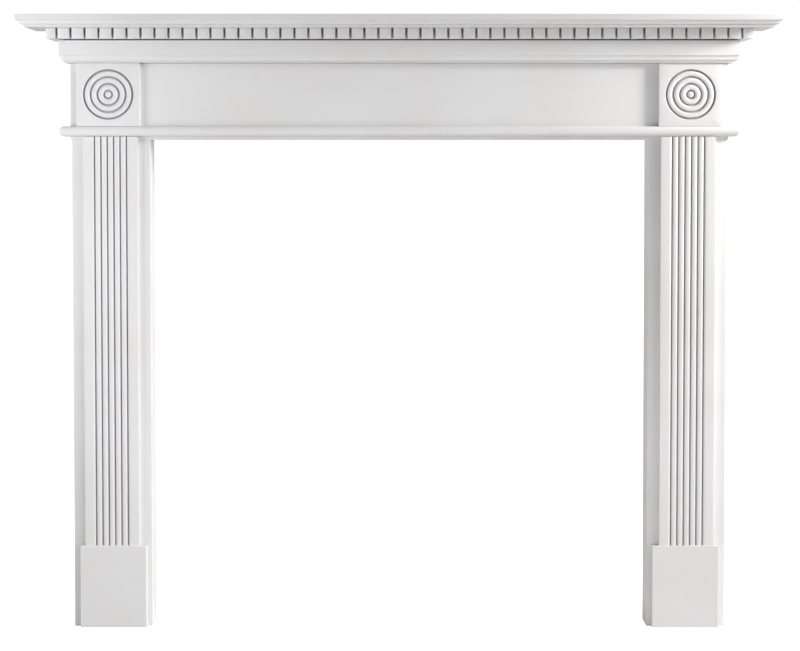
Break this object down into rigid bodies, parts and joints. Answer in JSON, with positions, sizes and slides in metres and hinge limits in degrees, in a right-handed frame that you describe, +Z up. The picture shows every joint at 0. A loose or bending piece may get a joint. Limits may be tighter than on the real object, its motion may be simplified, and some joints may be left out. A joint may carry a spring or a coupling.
{
  "type": "fireplace mantelpiece",
  "caption": "White painted timber mantelpiece with a moulded shelf, dentil course, frieze with roundel corner blocks, torus moulding and reeded pilasters on plinth blocks.",
  "frame": {"origin": "on the floor, at the middle of the whole width and depth", "axes": "+X to the right across the front, +Y back towards the wall, +Z up; the back faces lie on the wall plane at y = 0.08035 m"},
  "size_m": [1.3844, 0.1606, 1.1286],
  "materials": {
    "shelf": "satin white paint on a sanded board",
    "dentils": "satin white paint over saw kerfs",
    "mouldings": "satin white paint on run mouldings",
    "frieze": "satin white paint with a few faint smudges",
    "blocks": "satin white paint over turned rings",
    "jambs": "satin white paint",
    "pilasters": "satin white paint over run reeds",
    "plinths": "satin white paint"
  },
  "bodies": {
    "root": {"mantel_shelf": "shelf", "dentil_course": "dentils", "bed_moulding": "mouldings", "torus_moulding": "mouldings", "frieze_board": "frieze", "corner_block_left": "blocks", "corner_block_right": "blocks", "jamb_left": "jambs", "jamb_right": "jambs", "pilaster_left": "pilasters", "pilaster_right": "pilasters", "plinth_left": "plinths", "plinth_right": "plinths"}
  },
  "joints": []
}
